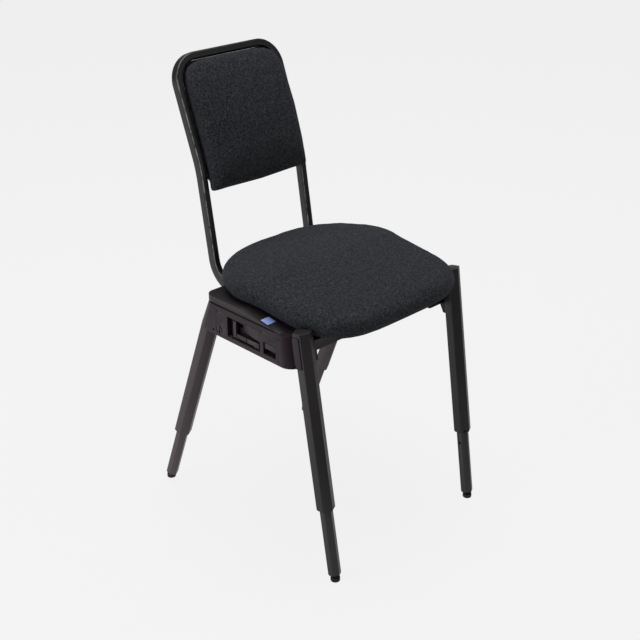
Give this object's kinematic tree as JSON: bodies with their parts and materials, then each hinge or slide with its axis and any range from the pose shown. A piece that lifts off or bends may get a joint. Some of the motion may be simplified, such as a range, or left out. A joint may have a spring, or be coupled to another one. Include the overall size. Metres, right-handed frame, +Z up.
{
  "type": "choir chair",
  "caption": "Upholstered choir chair with telescoping hexagonal legs, side housings holding release levers, a tube back frame and padded seat and back.",
  "frame": {"origin": "on the floor, at the middle of the chair's bounding box", "axes": "+Z up, the sitter faces -Y, +X is the sitter's left"},
  "size_m": [0.431, 0.52, 0.8777],
  "materials": {
    "fabric": "matte woven upholstery with pale flecks",
    "black_paint": "satin powder coat",
    "black_plastic": "fine moulded texture",
    "rubber": "matte",
    "dark_steel": "blackened",
    "zinc_steel": "zinc plated",
    "marker": "smooth tile"
  },
  "bodies": {
    "frame": {"seat_cushion": "fabric", "seat_pan": "black_plastic", "pan_mounts": "rubber", "pan_bolts": "zinc_steel", "cross_front": "black_paint", "cross_rear": "black_paint", "back_frame": "black_paint", "back_cushion": "fabric", "back_board": "black_plastic", "back_screws": "dark_steel", "cheek_left": "black_plastic", "cheek_right": "black_plastic", "deck_left": "black_plastic", "deck_right": "black_plastic", "marker_left": "marker", "marker_right": "marker", "cover_left": "black_plastic", "cover_right": "black_plastic", "cheek_screws": "dark_steel", "lever_pins": "zinc_steel", "outer_leg_front_left": "black_paint", "outer_leg_front_right": "black_paint", "outer_leg_rear_left": "black_paint", "outer_leg_rear_right": "black_paint", "leg_bushes": "black_plastic", "leg_top_caps": "black_plastic"},
    "leg_front_left": {"inner_leg_front_left": "black_paint", "plug_front_left": "black_plastic"},
    "foot_front_left": {"glide_front_left": "rubber"},
    "leg_front_right": {"inner_leg_front_right": "black_paint", "plug_front_right": "black_plastic"},
    "foot_front_right": {"glide_front_right": "rubber"},
    "leg_rear_left": {"inner_leg_rear_left": "black_paint", "plug_rear_left": "black_plastic"},
    "foot_rear_left": {"glide_rear_left": "rubber"},
    "leg_rear_right": {"inner_leg_rear_right": "black_paint", "plug_rear_right": "black_plastic"},
    "foot_rear_right": {"glide_rear_right": "rubber"},
    "lever_left": {"lever_left": "black_plastic"},
    "draw_bar_left": {"draw_bar_left": "zinc_steel"},
    "link_left": {"link_left": "black_plastic"},
    "turn_plug_left": {"knob_left": "black_plastic"},
    "lever_right": {"lever_right": "black_plastic"},
    "draw_bar_right": {"draw_bar_right": "zinc_steel"},
    "link_right": {"link_right": "black_plastic"},
    "turn_plug_right": {"knob_right": "black_plastic"}
  },
  "joints": [
    {"name": "extend_front_left", "type": "slide", "parent": "frame", "child": "leg_front_left", "axis": [0.0102, 0.1612, 0.9869], "range_m": [-0.015, 0.112]},
    {"name": "swivel_front_left", "type": "hinge", "parent": "leg_front_left", "child": "foot_front_left", "pos_m": [0.19206, -0.24962, 0.0054], "axis": [1, 0, 0], "range_deg": [-8, 8]},
    {"name": "extend_front_right", "type": "slide", "parent": "frame", "child": "leg_front_right", "axis": [-0.0102, 0.1612, 0.9869], "range_m": [-0.015, 0.112]},
    {"name": "swivel_front_right", "type": "hinge", "parent": "leg_front_right", "child": "foot_front_right", "pos_m": [-0.19206, -0.24962, 0.0054], "axis": [1, 0, 0], "range_deg": [-8, 8]},
    {"name": "extend_rear_left", "type": "slide", "parent": "frame", "child": "leg_rear_left", "axis": [0.0029, -0.3598, 0.933], "range_m": [-0.015, 0.112]},
    {"name": "swivel_rear_left", "type": "hinge", "parent": "leg_rear_left", "child": "foot_rear_left", "pos_m": [0.19652, 0.23542, 0.0054], "axis": [1, 0, 0], "range_deg": [-8, 8]},
    {"name": "extend_rear_right", "type": "slide", "parent": "frame", "child": "leg_rear_right", "axis": [-0.0029, -0.3598, 0.933], "range_m": [-0.015, 0.112]},
    {"name": "swivel_rear_right", "type": "hinge", "parent": "leg_rear_right", "child": "foot_rear_right", "pos_m": [-0.19652, 0.23542, 0.0054], "axis": [1, 0, 0], "range_deg": [-8, 8]},
    {"name": "release_left", "type": "hinge", "parent": "frame", "child": "lever_left", "pos_m": [0.2085, -0.012, 0.44075], "axis": [0, 0, 1], "range_deg": [0, 29]},
    {"name": "draw_left", "type": "slide", "parent": "frame", "child": "draw_bar_left", "axis": [0, -1, 0], "range_m": [0, 0.00704], "stiffness_N_per_m": 1200, "springref_m": -0.0029},
    {"name": "row_link_left", "type": "slide", "parent": "frame", "child": "link_left", "axis": [1, 0, 0], "range_m": [0, 0.018]},
    {"name": "turn_left", "type": "hinge", "parent": "frame", "child": "turn_plug_left", "pos_m": [0.2155, 0.0305, 0.4265], "axis": [1, 0, 0], "range_deg": [0, 90]},
    {"name": "release_right", "type": "hinge", "parent": "frame", "child": "lever_right", "pos_m": [-0.2085, -0.012, 0.44075], "axis": [0, 0, -1], "range_deg": [0, 29]},
    {"name": "draw_right", "type": "slide", "parent": "frame", "child": "draw_bar_right", "axis": [0, -1, 0], "range_m": [0, 0.00704], "stiffness_N_per_m": 1200, "springref_m": -0.0029},
    {"name": "row_link_right", "type": "slide", "parent": "frame", "child": "link_right", "axis": [-1, 0, 0], "range_m": [0, 0.018]},
    {"name": "turn_right", "type": "hinge", "parent": "frame", "child": "turn_plug_right", "pos_m": [-0.2155, 0.0305, 0.4265], "axis": [-1, 0, 0], "range_deg": [0, 90]}
  ],
  "couplings": [
    {"joint": "release_left", "follows": "draw_left", "rad_per_m": 69.396},
    {"joint": "release_right", "follows": "draw_right", "rad_per_m": 69.396}
  ]
}
